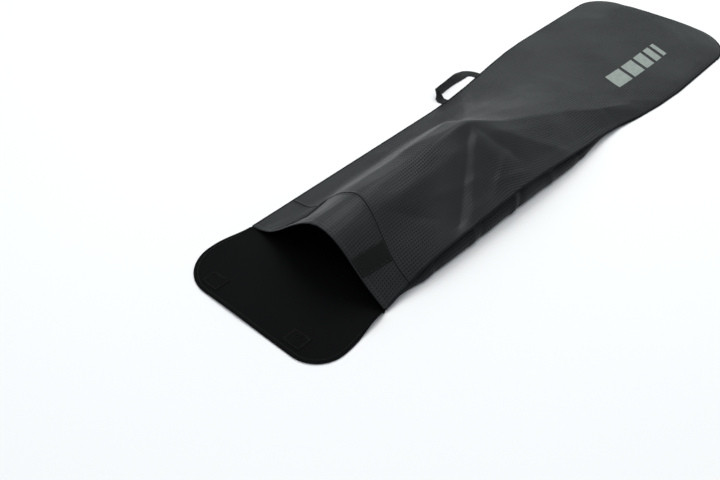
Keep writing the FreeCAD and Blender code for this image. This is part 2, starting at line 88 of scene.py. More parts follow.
# Cross-sections of the upper side: s, then (c, z) of seven points from the foot of the handle-side slope,
# over the ridge and the crest, to just above the other seam.
SECTIONS = (
    (0, ((40, 9), (84, 40), (136, 84), (208, 131), (268, 102), (302, 70), (344, 34))),
    (60, ((58, 9), (104, 42), (152, 98), (206, 130), (264, 106), (302, 77), (346, 45))),
    (125, ((54, 9), (101, 52), (152, 105), (206, 128), (256, 111), (303, 79), (350, 56))),
    (300, ((50, 11), (105, 62), (164, 115), (214, 134), (266, 119), (316, 89), (359, 66))),
    (460, ((54, 14), (114, 75), (171, 129), (224, 154), (270, 131), (319, 98), (361, 72))),
    (560, ((60, 16), (120, 54), (180, 92), (254, 121), (291, 107), (331, 83), (367, 63))),
    (660, ((64, 22), (130, 55), (200, 78), (273, 90), (310, 77), (346, 61), (377, 48))),
    (780, ((64, 19), (140, 40), (220, 53), (298, 59), (330, 48), (360, 37), (384, 27))),
    (880, ((60, 15), (150, 28), (250, 37), (345, 39), (366, 29), (384, 19), (396, 12))),
    (990, ((60, 10), (160, 15), (280, 20), (385, 19), (397, 14), (406, 10), (413, 6.5))),
    (1150, ((40, 10), (140, 13), (240, 13), (320, 12), (380, 10), (412, 8), (428, 5.5))),
    (1560, ((40, 7), (140, 8), (240, 8), (320, 8), (380, 7), (412, 6), (428, 4.5))),
)


def left_line(s):
    return np.interp(s, *LEFT_EDGE)


def right_line(s):
    return np.interp(s, *RIGHT_EDGE)


def corner(s, length, radius):
    """How far a rounded end corner pulls the edge in at s."""
    d = np.clip(s - (length - radius), 0.0, radius)
    return radius - np.sqrt(radius * radius - d * d)


def left_edge(s, inset=0.0):
    return left_line(s) + inset + corner(s, LENGTH - inset, CORNER_LEFT - inset)


def right_edge(s, inset=0.0):
    return right_line(s) - inset - corner(s, LENGTH - inset, CORNER_RIGHT - inset)


def right_lift(s):
    """Height of the seam along the edge that the lower panel wraps up to."""
    return sum(np.interp(s + d, *RIGHT_LIFT) for d in LIFT_SOFTENING) / len(LIFT_SOFTENING)


def ease(t):
    t = np.clip(t, 0.0, 1.0)
    return t * t * (3 - 2 * t)


def steps(count):
    """So many evenly spaced values from 0 to 1."""
    return np.linspace(0.0, 1.0, count)


def section_tables():
    """For each of nine knots across: its fraction of the width and its height, at every section."""
    at = np.array([row[0] for row in SECTIONS], float)
    fraction = np.zeros((len(SECTIONS), 9))
    height = np.zeros((len(SECTIONS), 9))
    for i, (s, points) in enumerate(SECTIONS):
        c0 = left_line(s)
        c1 = right_line(s)
        for j, (c, z) in enumerate(points):
            fraction[i, j + 1] = (c - c0) / (c1 - c0)
            height[i, j + 1] = z
        fraction[i, 8] = 1.0
        height[i, 0] = SEAM_T
        height[i, 8] = SEAM_T + np.interp(s, *RIGHT_LIFT)
    return at, fraction, height


KNOT_S, KNOT_F, KNOT_Z = section_tables()

# How far the corners between the facets are rounded off: in knots across, more towards the mouth, and in
# millimetres along.
SOFT_ACROSS = 0.17
SOFT_AT_MOUTH = 0.55
SOFT_END = 210.0
SOFT_OVER = 160.0
SOFT_ALONG = 16.0
SOFT_AT = np.array((-1.0, -0.5, 0.0, 0.5, 1.0))
SOFT_BY = np.array((1.0, 2.0, 3.0, 2.0, 1.0)) / 9.0


def knot_line(s, k):
    """Fraction across and height of the broken-line section at s and knot number k, both arrays."""
    k = np.clip(k, 0.0, 8.0)
    i = np.minimum(k.astype(int), 7)
    t = k - i
    row = np.clip(np.searchsorted(KNOT_S, s, side="right") - 1, 0, len(KNOT_S) - 2)
    w = np.clip((s - KNOT_S[row]) / (KNOT_S[row + 1] - KNOT_S[row]), 0.0, 1.0)
    out = []
    for table in (KNOT_F, KNOT_Z):
        a = table[row, i] * (1 - w) + table[row + 1, i] * w
        b = table[row, i + 1] * (1 - w) + table[row + 1, i + 1] * w
        out.append(a * (1 - t) + b * t)
    return out


def tent(s, v):
    """Outer face of the upper side at arrays s and v (0 to 1 across), before creases: c and z."""
    k = v * 8.0
    soft = SOFT_ACROSS + SOFT_AT_MOUTH * ease((SOFT_END - s) / SOFT_OVER)
    reach = np.minimum(soft, np.minimum(k, 8.0 - k))
    f = np.zeros_like(k)
    z = np.zeros_like(k)
    for ds, ws in zip(SOFT_AT, SOFT_BY):
        for dk, wk in zip(SOFT_AT, SOFT_BY):
            ff, zz = knot_line(np.clip(s + ds * SOFT_ALONG, 0.0, LENGTH), k + dk * reach)
            f += ff * ws * wk
            z += zz * ws * wk
    c0 = left_edge(s, PANEL_INSET)
    c1 = right_edge(s, PANEL_INSET)
    return c0 + (c1 - c0) * f, z


# Creases in the upper side: the (s, c) of both ends, half-width and height, in millimetres.
# A height below 0 is a valley.
CREASES = (
    ((466, 234), (236, 384), 17, -6.5),
    ((456, 256), (292, 376), 24, 4.6),
    ((470, 244), (520, 350), 17, -3.4),
    ((506, 318), (392, 366), 11, 3.4),
    ((404, 352), (500, 372), 9, 2.0),
    ((505, 262), (660, 386), 22, 3.6),
    ((470, 226), (760, 10), 20, 5.0),
    ((470, 222), (610, 40), 26, -4.2),
    ((640, 150), (930, 40), 26, 2.4),
    ((905, 352), (1010, 414), 17, 1.9),
    ((985, 356), (1090, 426), 14, 1.3),
    ((900, 330), (1190, 300), 22, 1.4),
    ((1230, 150), (1420, 40), 24, 1.8),
    ((1330, 410), (1500, 250), 18, 1.8),
    ((1190, 420), (1300, 330), 18, 1.2),
    ((150, 92), (330, 40), 16, 2.2),
    ((10, 60), (160, 96), 9, -4.2),
    ((30, 84), (190, 128), 14, 2.4),
    ((250, 300), (390, 330), 14, 1.8),
    ((140, 262), (230, 340), 14, -1.8),
    ((300, 150), (440, 226), 20, 2.2),
)


def crease_field(s, c):
    """Sum of the creases at arrays s and c, in millimetres."""
    total = np.zeros_like(s)
    for (s0, c0), (s1, c1), wide, high in CREASES:
        ds, dc = s1 - s0, c1 - c0
        size = math.hypot(ds, dc)
        along = ((s - s0) * ds + (c - c0) * dc) / size
        off = ((s - s0) * dc - (c - c0) * ds) / size
        t = along / size
        end = ease((t + 0.12) / 0.3) * ease((1.12 - t) / 0.3)
        total += high * end * np.exp(-np.abs(off / wide) ** 1.5)
    return total


def soft_noise(s, c, z, size, seed):
    """Smooth noise at arrays of points, one wave about size millimetres long."""
    flat = np.stack([s.ravel(), c.ravel(), z.ravel()], 1) / size + seed * 17.3
    return np.array([noise.noise(Vector(p)) for p in flat]).reshape(s.shape)


# How high the waves in the upper side stand, in millimetres. They fade out over one CALM_SHARE-th of the
# width from each side seam, and over CALM_END from the end seam.
SLOW_WAVES = 1.6
QUICK_WAVES = 0.5
SOFT_FOLDS = 3.2
CALM_SHARE = 14
CALM_END = 60.0


def upper_points(s, v, lift=0.0):
    """Points of the upper side in millimetres, (s, c, z), creases included."""
    c, z = tent(s, v)
    rim = np.minimum(1.0, np.minimum(v, 1 - v) * CALM_SHARE)
    far = np.clip((LENGTH - s) / CALM_END, 0.0, 1.0)
    calm = rim * far
    z = z + crease_field(s, c) * calm
    slow = soft_noise(s * 0.6, c, z * 0.4, 95.0, 1.0)
    quick = soft_noise(s * 0.8, c, z * 0.5, 38.0, 2.0)
    folds = 0.35 - np.abs(soft_noise(s * 0.8 + c * 0.35, c * 0.9 - s * 0.2, z * 0.3, 130.0, 9.0))
    z = z + calm * (slow * SLOW_WAVES + quick * QUICK_WAVES + folds * SOFT_FOLDS)
    return np.stack([s, c, z + lift], -1)


# The directions of s, c and z in the frame: c runs against Y.
TO_FRAME_SIGNS = np.array((1.0, -1.0, 1.0))


def to_frame(points):
    """From (s, c, z) in millimetres to the frame, in metres."""
    return (points * TO_FRAME_SIGNS + (-HALF, MIDDLE, 0.0)) * MM


def grid_normals(p):
    """Unit normals of a grid of points whose rows run along and columns across."""
    du = np.gradient(p, axis=0)
    dv = np.gradient(p, axis=1)
    n = np.cross(dv, du)
    size = np.linalg.norm(n, axis=-1, keepdims=True)
    return n / np.maximum(size, 1e-12)


def lengths(p, axis):
    """Running length of a grid of points along one axis."""
    step = np.linalg.norm(np.diff(p, axis=axis), axis=-1)
    pad = [(0, 0), (0, 0)]
    pad[axis] = (1, 0)
    return np.pad(np.cumsum(step, axis=axis), pad)


def add(name, data):
    obj = bpy.data.objects.new(name, data)
    bpy.context.scene.collection.objects.link(obj)
    return obj


def new_object(name, vertices, faces, materials, uv=None, parts=None, smooth=True, sharp=()):
    """A mesh object.

    uv is one pair per vertex, parts one material number per face, sharp the hard edges' pairs of vertices.
    """
    mesh = bpy.data.meshes.new(name)
    mesh.from_pydata([tuple(p) for p in vertices], [], [tuple(f) for f in faces])
    if uv is not None:
        layer = mesh.uv_layers.new(name="cloth")
        index = np.empty(len(mesh.loops), np.int32)
        mesh.loops.foreach_get("vertex_index", index)
        layer.data.foreach_set("uv", np.asarray(uv, np.float32)[index].ravel())
    for m in materials:
        mesh.materials.append(m)
    if parts is not None:
        mesh.polygons.foreach_set("material_index", np.asarray(parts, np.int32))
    mesh.polygons.foreach_set("use_smooth", [smooth] * len(mesh.polygons))
    mesh.update()
    if len(sharp):
        keys = np.empty(len(mesh.edges) * 2, np.int32)
        mesh.edges.foreach_get("vertices", keys)
        keys = np.sort(keys.reshape(-1, 2), axis=1)
        count = len(mesh.vertices)
        wanted = np.sort(np.asarray(sharp), axis=1)
        hard = np.isin(keys[:, 0] * count + keys[:, 1], wanted[:, 0] * count + wanted[:, 1])
        mesh.attributes.new("sharp_edge", "BOOLEAN", "EDGE").data.foreach_set("value", hard)
    return add(name, mesh)


def sheet_faces(rows, cols):
    """Upper, lower and side faces of a closed sheet of two grids of points, and its rims' edges."""
    count = rows * cols
    at = np.arange(count).reshape(rows, cols)
    a, b, c, d = at[:-1, :-1], at[1:, :-1], at[1:, 1:], at[:-1, 1:]
    up = np.stack([a, d, c, b], -1).reshape(-1, 4)
    down = np.stack([a, b, c, d], -1).reshape(-1, 4) + count
    rim = np.concatenate([at[0, :-1], at[:-1, -1], at[-1, :0:-1], at[:0:-1, 0]])
    after = np.roll(rim, -1)
    side = np.stack([rim, rim + count, after + count, after], -1)
    edges = np.concatenate([np.stack([rim, after], -1), np.stack([rim + count, after + count], -1)])
    return up, down, side, edges


def cloth(name, outer, thickness, materials):
    """A closed sheet from a grid of outer points in millimetres (s, c, z).

    The first material is on its outer face, the second on its inner face.
    """
    top = to_frame(outer)
    low = top - grid_normals(top) * thickness * MM
    vertices = np.concatenate([top.reshape(-1, 3), low.reshape(-1, 3)])
    uv = np.stack([lengths(top, 1), lengths(top, 0)], -1)
    uvs = np.concatenate([uv.reshape(-1, 2)] * 2)
    up, down, side, edges = sheet_faces(*top.shape[:2])
    faces = np.concatenate([up, down, side])
    parts = np.repeat((0, 1, 0), (len(up), len(down), len(side)))
    return new_object(name, vertices, faces, materials, uvs, parts, sharp=edges)


# Materials -----


def new_material(name, colour, roughness):
    m = bpy.data.materials.new(name)
    m.use_nodes = True
    m.diffuse_color = (*colour, 1.0)
    tree = m.node_tree
    shader = tree.nodes["Principled BSDF"]
    shader.inputs["Base Color"].default_value = (*colour, 1.0)
    shader.inputs["Roughness"].default_value = roughness
    return m, tree, shader


def node(tree, kind, **values):
    n = tree.nodes.new(kind)
    for key, value in values.items():
        if hasattr(n, key):
            setattr(n, key, value)
        else:
            n.inputs[key.replace("_", " ")].default_value = value
    return n


def math_node(tree, operation, a, b=None, c=None):
    n = tree.nodes.new("ShaderNodeMath")
    n.operation = operation
    for i, x in enumerate((a, b, c)):
        if x is None:
            continue
        if isinstance(x, (int, float)):
            n.inputs[i].default_value = x
        else:
            tree.links.new(x, n.inputs[i])
    return n.outputs[0]


def scaled(tree, source, by, plus):
    """source * by + plus."""
    return math_node(tree, "MULTIPLY_ADD", source, by, plus)


def mix_colour(tree, factor, a, b):
    n = tree.nodes.new("ShaderNodeMix")
    n.data_type = "RGBA"
    for socket, x in ((n.inputs[0], factor), (n.inputs[6], a), (n.inputs[7], b)):
        if isinstance(x, (int, float)):
            socket.default_value = x
        elif isinstance(x, tuple):
            socket.default_value = (*x, 1.0)
        else:
            tree.links.new(x, socket)
    return n.outputs[2]


def tint(tree, shader, factor, a, b):
    """The shader's colour, between a and b."""
    tree.links.new(mix_colour(tree, factor, a, b), shader.inputs["Base Color"])


def ramp(tree, source, low, high):
    """Source stretched so that low becomes 0 and high becomes 1."""
    n = tree.nodes.new("ShaderNodeMapRange")
    n.inputs["From Min"].default_value = low
    n.inputs["From Max"].default_value = high
    tree.links.new(source, n.inputs["Value"])
    return n.outputs[0]


def cloth_axes(tree):
    """The cloth's own two directions in metres, from its UV map."""
    uv = node(tree, "ShaderNodeUVMap", uv_map="cloth")
    split = tree.nodes.new("ShaderNodeSeparateXYZ")
    tree.links.new(uv.outputs[0], split.inputs[0])
    return split.outputs[0], split.outputs[1], uv.outputs[0]


def noise_of(tree, vector, scale, detail=3.0, roughness=0.55):
    n = node(tree, "ShaderNodeTexNoise", Scale=scale, Detail=detail, Roughness=roughness)
    tree.links.new(vector, n.inputs["Vector"])
    return n.outputs["Fac"]


def bump(tree, shader, height, distance):
    n = node(tree, "ShaderNodeBump", Distance=distance, Strength=1.0)
    tree.links.new(height, n.inputs["Height"])
    tree.links.new(n.outputs[0], shader.inputs["Normal"])


def waves(tree, axis, pitch):
    """A sine wave along one cloth axis, from -1 to 1."""
    return math_node(tree, "SINE", math_node(tree, "MULTIPLY", axis, 2 * math.pi / pitch))


def crossed(tree, a, b, pitch_a, pitch_b):
    """Two crossing waves, multiplied."""
    return math_node(tree, "MULTIPLY", waves(tree, a, pitch_a), waves(tree, b, pitch_b))


DOT_PITCH = 0.0132
SHELL_TONES = ((0.0105, 0.0115, 0.0128), (0.0135, 0.0145, 0.0158))
DOT_TONE = (0.0035, 0.0036, 0.004)


def shell_material():
    """Coated ripstop: charcoal cloth with a lattice of small sunk dots, faded here and there by a slow
    noise as painted sheen.
    """
    m, tree, shader = new_material("coated_ripstop", (0.0105, 0.0112, 0.012), 0.42)
    u, v, uv = cloth_axes(tree)
    a = math_node(tree, "ADD", u, v)
    b = math_node(tree, "SUBTRACT", u, v)
    dots = ramp(tree, crossed(tree, a, b, DOT_PITCH, DOT_PITCH), 0.05, 0.6)
    weave = crossed(tree, u, v, 0.0011, 0.0011)
    # Painted sheen: a slow noise fades the dots' darker colour, roughness, sink and gloss here and there,
    # where sheen would wash them out.
    painted_sheen_fade = ramp(tree, noise_of(tree, uv, 4.2, 1.0, 0.4), 0.4, 0.58)
    dots = math_node(tree, "MULTIPLY", dots, scaled(tree, painted_sheen_fade, 0.85, 0.15))
    cloud = noise_of(tree, uv, 7.0)
    grain = noise_of(tree, uv, 160.0, 2.0)
    tone = mix_colour(tree, ramp(tree, cloud, 0.3, 0.7), *SHELL_TONES)
    tint(tree, shader, math_node(tree, "MULTIPLY", dots, 0.7), tone, DOT_TONE)
    rough = scaled(tree, dots, 0.14, 0.36)
    rough = scaled(tree, cloud, 0.12, rough)
    tree.links.new(rough, shader.inputs["Roughness"])
    height = scaled(tree, dots, -0.8, math_node(tree, "MULTIPLY", weave, 0.05))
    height = scaled(tree, grain, 0.25, height)
    bump(tree, shader, height, 0.0005)
    gloss = scaled(tree, dots, -0.1, 0.17)
    tree.links.new(gloss, shader.inputs["Specular IOR Level"])
    return m


def inner_material():
    """The cloth's coated inner side: near black and smooth, with the weave just showing."""
    m, tree, shader = new_material("coated_inner_side", (0.004, 0.0042, 0.0045), 0.6)
    u, v, uv = cloth_axes(tree)
    weave = crossed(tree, u, v, 0.0014, 0.0014)
    cloud = noise_of(tree, uv, 12.0)
    tint(tree, shader, cloud, (0.0012, 0.0013, 0.0014), (0.003, 0.0031, 0.0033))
    rough = scaled(tree, cloud, 0.2, 0.5)
    tree.links.new(rough, shader.inputs["Roughness"])
    bump(tree, shader, scaled(tree, weave, 0.2, cloud), 0.0003)
    shader.inputs["Specular IOR Level"].default_value = 0.03
    return m


def seam_painted_shade_material():
    """The turned cloth along the seams, drawn into small ridges by its stitching; its colour is darker than
    the panels' as painted shade along the seams.
    """
    m, tree, shader = new_material("seam_edge_painted_shade", (0.0045, 0.0048, 0.0052), 0.6)
    v, uv = cloth_axes(tree)[1:]
    pull = waves(tree, v, 0.0042)
    cloud = noise_of(tree, uv, 40.0)
    # Painted shade: these tones sit well below the panels' cloth, for the dark shadow line under the
    # panel's edge.
    tint(tree, shader, cloud, (0.0025, 0.0027, 0.003), (0.0075, 0.008, 0.0087))
    tree.links.new(scaled(tree, cloud, 0.2, 0.5), shader.inputs["Roughness"])
    bump(tree, shader, scaled(tree, pull, 0.3, cloud), 0.0004)
    shader.inputs["Specular IOR Level"].default_value = 0.06
    return m


def pile_material(name, colour, hooks):
    """Hook-and-loop tape: a matt pile, or short stiff hooks in rows."""
    m, tree, shader = new_material(name, colour, 0.92)
    u, v, uv = cloth_axes(tree)
    fuzz = noise_of(tree, uv, 900.0 if not hooks else 300.0, 4.0, 0.7)
    rows = crossed(tree, u, v, 0.0018, 0.0022)
    height = fuzz if not hooks else scaled(tree, rows, 0.8, fuzz)
    dark = tuple(c * 0.5 for c in colour)
    tint(tree, shader, ramp(tree, height, 0.25, 0.8), dark, colour)
    bump(tree, shader, height, 0.0008)
    shader.inputs["Specular IOR Level"].default_value = 0.05 if hooks else 0.15
    shader.inputs["Sheen Weight"].default_value = 0.02 if hooks else 0.05
    return m


def webbing_material():
    """Woven webbing: ribs across it, with a fine chevron."""
    m, tree, shader = new_material("webbing", (0.008, 0.0085, 0.009), 0.62)
    u, v, uv = cloth_axes(tree)
    ribs = waves(tree, v, 0.0024)
    slant = math_node(tree, "ADD", math_node(tree, "PINGPONG", u, 0.004), v)
    chevron = waves(tree, slant, 0.0016)
    height = scaled(tree, chevron, 0.5, math_node(tree, "MULTIPLY", ribs, 0.5))
    light = (0.014, 0.0148, 0.0157)
    tint(tree, shader, ramp(tree, height, -0.9, 0.9), (0.003, 0.0033, 0.0036), light)
    bump(tree, shader, math_node(tree, "ADD", height, noise_of(tree, uv, 500.0)), 0.0004)
    shader.inputs["Specular IOR Level"].default_value = 0.25
    return m


def thread_material():
    """Twisted black thread."""
    m, tree, shader = new_material("thread", (0.014, 0.0145, 0.015), 0.5)
    place = tree.nodes.new("ShaderNodeTexCoord").outputs["Object"]
    twist = noise_of(tree, place, 1800.0, 2.0)
    tint(tree, shader, twist, (0.003, 0.0033, 0.0036), (0.014, 0.0145, 0.015))
    bump(tree, shader, twist, 0.0002)
    return m


def print_material():
    """Matt grey ink, a little uneven."""
    m, tree, shader = new_material("printed_ink", (0.29, 0.33, 0.3), 0.6)
    uv = cloth_axes(tree)[2]
    cloud = noise_of(tree, uv, 60.0, 4.0)
    fine = noise_of(tree, uv, 700.0, 2.0)
    tint(tree, shader, ramp(tree, cloud, 0.3, 0.75), (0.235, 0.265, 0.24), (0.17, 0.195, 0.18))
    bump(tree, shader, scaled(tree, fine, 0.5, cloud), 0.0002)
    return m


def floor_material():
    """Smooth pale paper with a faint cloudiness."""
    m, tree, shader = new_material("studio_floor", (0.83, 0.82, 0.82), 0.8)
    place = tree.nodes.new("ShaderNodeTexCoord").outputs["Object"]
    cloud = noise_of(tree, place, 1.5)
    tint(tree, shader, cloud, (0.82, 0.81, 0.81), (0.835, 0.825, 0.825))
    return m


SHELL = shell_material()
SEAM_PAINTED_SHADE = seam_painted_shade_material()
INNER = inner_material()
LOOP = pile_material("loop_pile", (0.0038, 0.0043, 0.0039), False)
HOOK = pile_material("hook_tape", (0.0026, 0.0026, 0.0027), True)
WEBBING = webbing_material()
THREAD = thread_material()
INK = print_material()


# Upper side -----

MOUTH_EDGE = 1.4
CUFF_TO_SEAM = 5.5
SEAM_TO_PANEL = 7.5
COLUMNS = 170


def mouth_line(v):
    """Where the mouth's edge lies along the bag, clear of the flap when that is folded up."""
    return np.full_like(v, MOUTH_EDGE)


def cuff_line(v):
    """Where the cuff seam lies along the bag; the cuff is shorter towards the edge opposite the handle."""
    return CUFF + (CUFF_SHORT - CUFF) * ease((v - 0.45) / 0.5)


def stations(start, turn_count):
    """Stations along the long panels: one every 5 mm, then closer and closer round the end's corners."""
    end = LENGTH - PANEL_INSET
    body = np.arange(start, end - CORNER_RIGHT, 5.0)
    turn = np.sin(np.linspace(0.0, math.pi / 2, turn_count))
    return end, np.concatenate([body, end - CORNER_RIGHT + CORNER_RIGHT * turn])


def top_panel():
    end, stops = stations(0.0, 40)
    stops = stops[:, None]
    v = steps(COLUMNS)
    start = cuff_line(v)[None, :] + SEAM_TO_PANEL
    s = start + stops * (end - start) / end
    vv = np.broadcast_to(v, s.shape).copy()
    p = upper_points(s, vv)
    obj = cloth("top_panel_cloth", p, CLOTH_T, (SHELL, INNER))
    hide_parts("top_panel")
    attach(obj, "sack")
    return obj


def strip_between(start_offset, stop_offset, rows, v):
    """s and v arrays of a strip of the upper side, from the mouth's edge to the cuff seam."""
    start = mouth_line(v) + start_offset
    stop = cuff_line(v) - stop_offset
    t = steps(rows)[:, None]
    s = start[None, :] * (1 - t) + stop[None, :] * t
    return s, np.broadcast_to(v, s.shape).copy()


def cuff():
    s, v = strip_between(HEM, CUFF_TO_SEAM, 26, steps(COLUMNS))
    obj = cloth("cuff_cloth", upper_points(s, v), CLOTH_T, (SHELL, INNER))
    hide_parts("mouth_cuff")
    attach(obj, "sack")
    return obj


STRIP_COLUMNS = 260
MOUTH_HEM_T = 2.2


def profiled_strip(name, line, offsets, heights, thickness):
    """A strip of the upper side along a line of s, raised to a height at each offset from it."""
    s = line[None, :] + np.array(offsets, float)[:, None]
    vv = np.broadcast_to(steps(STRIP_COLUMNS), s.shape).copy()
    base = upper_points(s, vv)
    n = grid_normals(to_frame(base))
    up = np.array(heights, float)[:, None, None]
    return cloth(name, base + n * TO_FRAME_SIGNS * up, thickness, (SHELL, INNER))


def cuff_seam():
    """The lapped seam: a groove, then the turned edge of the long panel."""
    offsets = (-6.0, -3.0, -1.2, -0.6, -0.1, 0.4, 0.9, 1.6, 3.0, 5.0, 8.0)
    heights = (0.1, 0.4, 0.35, -0.5, -0.9, 0.2, 1.2, 1.5, 1.3, 0.8, 0.1)
    obj = profiled_strip("cuff_seam_fold", cuff_line(steps(STRIP_COLUMNS)), offsets, heights, CLOTH_T)
    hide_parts("cuff_seam")
    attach(obj, "sack")


def hem():
    """The mouth's hem: cloth turned under, with a rolled lip and a dent along its stitching."""
    offsets = (-1.0, -0.4, 0.6, 2.0, 4.5, 6.6, 7.2, 7.8, 8.6, 9.6)
    heights = (-0.9, 0.3, 0.9, 1.1, 1.0, 0.8, 0.35, 0.7, 0.45, 0.05)
    line = mouth_line(steps(STRIP_COLUMNS)) + 1.0
    obj = profiled_strip("mouth_hem_cloth", line, offsets, heights, MOUTH_HEM_T)
    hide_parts("mouth_hem")
    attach(obj, "sack")


# Lower side -----

# How the lower panel turns up to the seam, as shares of the way out and of the way up: it bulges low down
# and is tucked in below the seam.
TURNS = np.array(((0, 0), (0.4, 0), (0.8, 0.01), (1.12, 0.05), (1.32, 0.15), (1.34, 0.27), (1.2, 0.39),
                  (0.86, 0.5), (0.5, 0.6), (0.36, 0.74), (0.46, 0.9), (1, 1)))
WRAP_FULL = 30.0
WRAP_ROOM = (4, 18)
FLAT_COLUMNS = 70
TURN_COLUMNS = 44


def wrap_rows(s):
    """Outer face of the lower side at stations s: flat on the floor, then up to the seam.

    The turn has its full shape where the seam stands at least WRAP_FULL high, and WRAP_ROOM is its width
    where the seam lies low and what it gains as it rises.
    """
    c0 = left_edge(s, PANEL_INSET)[:, None]
    c1 = right_edge(s, PANEL_INSET)[:, None]
    h = right_lift(s)[:, None]
    q = np.minimum(1.0, h / WRAP_FULL)
    flat_to = c1 - WRAP_ROOM[0] - WRAP_ROOM[1] * q
    t = steps(FLAT_COLUMNS)[None, :]
    c_flat = c0 + (flat_to - c0) * t
    z_flat = np.zeros_like(c_flat)
    k = steps(TURN_COLUMNS + 1)[None, 1:]
    kk = steps(len(TURNS))
    f = np.interp(k, kk, TURNS[:, 0])
    g = np.interp(k, kk, TURNS[:, 1])
    f = f * q + k * (1 - q)
    return np.concatenate([c_flat, flat_to + (c1 - flat_to) * f], 1), np.concatenate([z_flat, h * g], 1)


# Waves along the turned-up wall and how far they stand out, in millimetres, then the folds that cross it:
# s at the floor, slant, half-width and how far they stand out.
WALL_RIPPLE = 2.4
WALL_PINCH = 3.5
WALL_FOLDS = ((150, 0.7, 10, -3.0), (262, 1.1, 8, 2.5), (292, 1.1, 10, -3.0), (404, 1.3, 7, 4.0),
              (430, 1.3, 9, -5.0), (560, 0.8, 12, 3.0), (690, 0.6, 12, -3.0))


def lower_panel():
    s = stations(2.0, 36)[1]
    c, z = wrap_rows(s)
    ss = np.broadcast_to(s[:, None], c.shape).copy()
    top = right_lift(s)[:, None]
    wall = np.clip(z / 12.0, 0.0, 1.0) * np.clip((top + 2 - z) / 8.0, 0.0, 1.0)
    wall = wall * np.clip(top / 20.0, 0.0, 1.0)
    ripple = soft_noise(ss + z * 0.8, c * 0.2, z * 0.6, 120.0, 5.0)
    pinch = 0.3 - np.abs(soft_noise(ss + z * 1.3, c * 0.1, z * 0.4, 160.0, 6.0))
    c = c + wall * (ripple * WALL_RIPPLE + pinch * WALL_PINCH)
    for at, slant, wide, deep in WALL_FOLDS:
        off = (ss - at - slant * z) / wide
        c = c + wall * deep * np.exp(-np.abs(off) ** 1.4)
    p = np.stack([ss, c, z], -1)
    obj = cloth("bottom_panel_cloth", p[:, ::-1], CLOTH_T, (SHELL, INNER))
    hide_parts("bottom_panel")
    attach(obj, "sack")
    return obj


# Seams -----


def bead(name, path, wide, tall, materials, sides=10):
    """A flattened bead along a path of points in millimetres (s, c, z)."""
    p = to_frame(np.array(path, float))
    tangent = np.gradient(p, axis=0)
    tangent /= np.linalg.norm(tangent, axis=1, keepdims=True)
    out = np.cross(tangent, (0, 0, 1.0))
    out /= np.linalg.norm(out, axis=1, keepdims=True)
    up = np.cross(out, tangent)
    a = np.linspace(0, 2 * math.pi, sides, endpoint=False)
    ring = (out[:, None] * (np.cos(a)[None, :, None] * wide * MM / 2)
            + up[:, None] * (np.sin(a)[None, :, None] * tall * MM / 2))
    grid = p[:, None] + ring
    rows = len(p)
    vertices = np.concatenate([grid.reshape(-1, 3), p[:1], p[-1:]])
    at = np.arange(rows * sides).reshape(rows, sides)
    nxt = np.roll(at, -1, axis=1)
    faces = [tuple(f) for f in np.stack([at[:-1], at[1:], nxt[1:], nxt[:-1]], -1).reshape(-1, 4)]
    first, last = rows * sides, rows * sides + 1
    faces += [(first, at[0, i], nxt[0, i]) for i in range(sides)]
    faces += [(last, nxt[-1, i], at[-1, i]) for i in range(sides)]
    run = lengths(p[:, None], 0)[:, 0]
    uv = np.stack(np.broadcast_arrays(a[None, :] * wide * MM / 4, run[:, None]), -1)
    uvs = np.concatenate([uv.reshape(-1, 2), [(0, run[0])], [(0, run[-1])]])
    return new_object(name, vertices, faces, materials, uvs)


# The bead along the seams: its size, then how far in from the outline and how far up it runs.
BEAD_W = 6.4
BEAD_T = 2.6
BEAD_IN_LEFT = 3.2
BEAD_IN_RIGHT = 3.8
BEAD_UP_LEFT = 0.3
BEAD_UP_RIGHT = -0.5
BEAD_UP_END = 0.2


def seams():
    """The turned edge where the two panels meet, in three stretches."""
    made = []
    s = np.arange(3.0, LENGTH - CORNER_LEFT, 6.0)
    z = np.full_like(s, SEAM_T / 2) + BEAD_UP_LEFT
    left = np.stack([s, left_edge(s, BEAD_IN_LEFT), z], -1)
    made.append(("side_seam_left_fold", left, "side_seam_left"))
    s = np.arange(3.0, LENGTH - CORNER_RIGHT, 6.0)
    z = right_lift(s) + SEAM_T / 2 + BEAD_UP_RIGHT
    right = np.stack([s, right_edge(s, BEAD_IN_RIGHT), z], -1)
    made.append(("side_seam_right_fold", right, "side_seam_right"))
    a = np.linspace(0, math.pi / 2, 24)
    el, er = left_line(LENGTH), right_line(LENGTH)
    r = CORNER_LEFT - BEAD_IN_LEFT
    one = np.stack([LENGTH - CORNER_LEFT + r * np.sin(a), el + CORNER_LEFT - r * np.cos(a)], -1)
    c = np.arange(el + CORNER_LEFT + 6, er - CORNER_RIGHT - 3, 6.0)
    two = np.stack([np.full_like(c, LENGTH - BEAD_IN_LEFT), c], -1)
    r = CORNER_RIGHT - BEAD_IN_LEFT
    b = a[::-1]
    three = np.stack([LENGTH - CORNER_RIGHT + r * np.sin(b), er - CORNER_RIGHT + r * np.cos(b)], -1)
    flat = np.concatenate([one, two, three])
    end = np.concatenate([flat, np.full((len(flat), 1), SEAM_T / 2 + BEAD_UP_END)], 1)
    made.append(("end_seam_fold", end, "end_seam"))
    for name, path, cad in made:
        obj = bead(name, path, BEAD_W, BEAD_T, (SEAM_PAINTED_SHADE,))
        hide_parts(cad)
        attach(obj, "sack")


# Stitching -----


def value_at(values, run, d):
    """The triple at distance d along a run, given the distance of each."""
    return np.array([np.interp(d, run, values[:, k]) for k in range(3)])


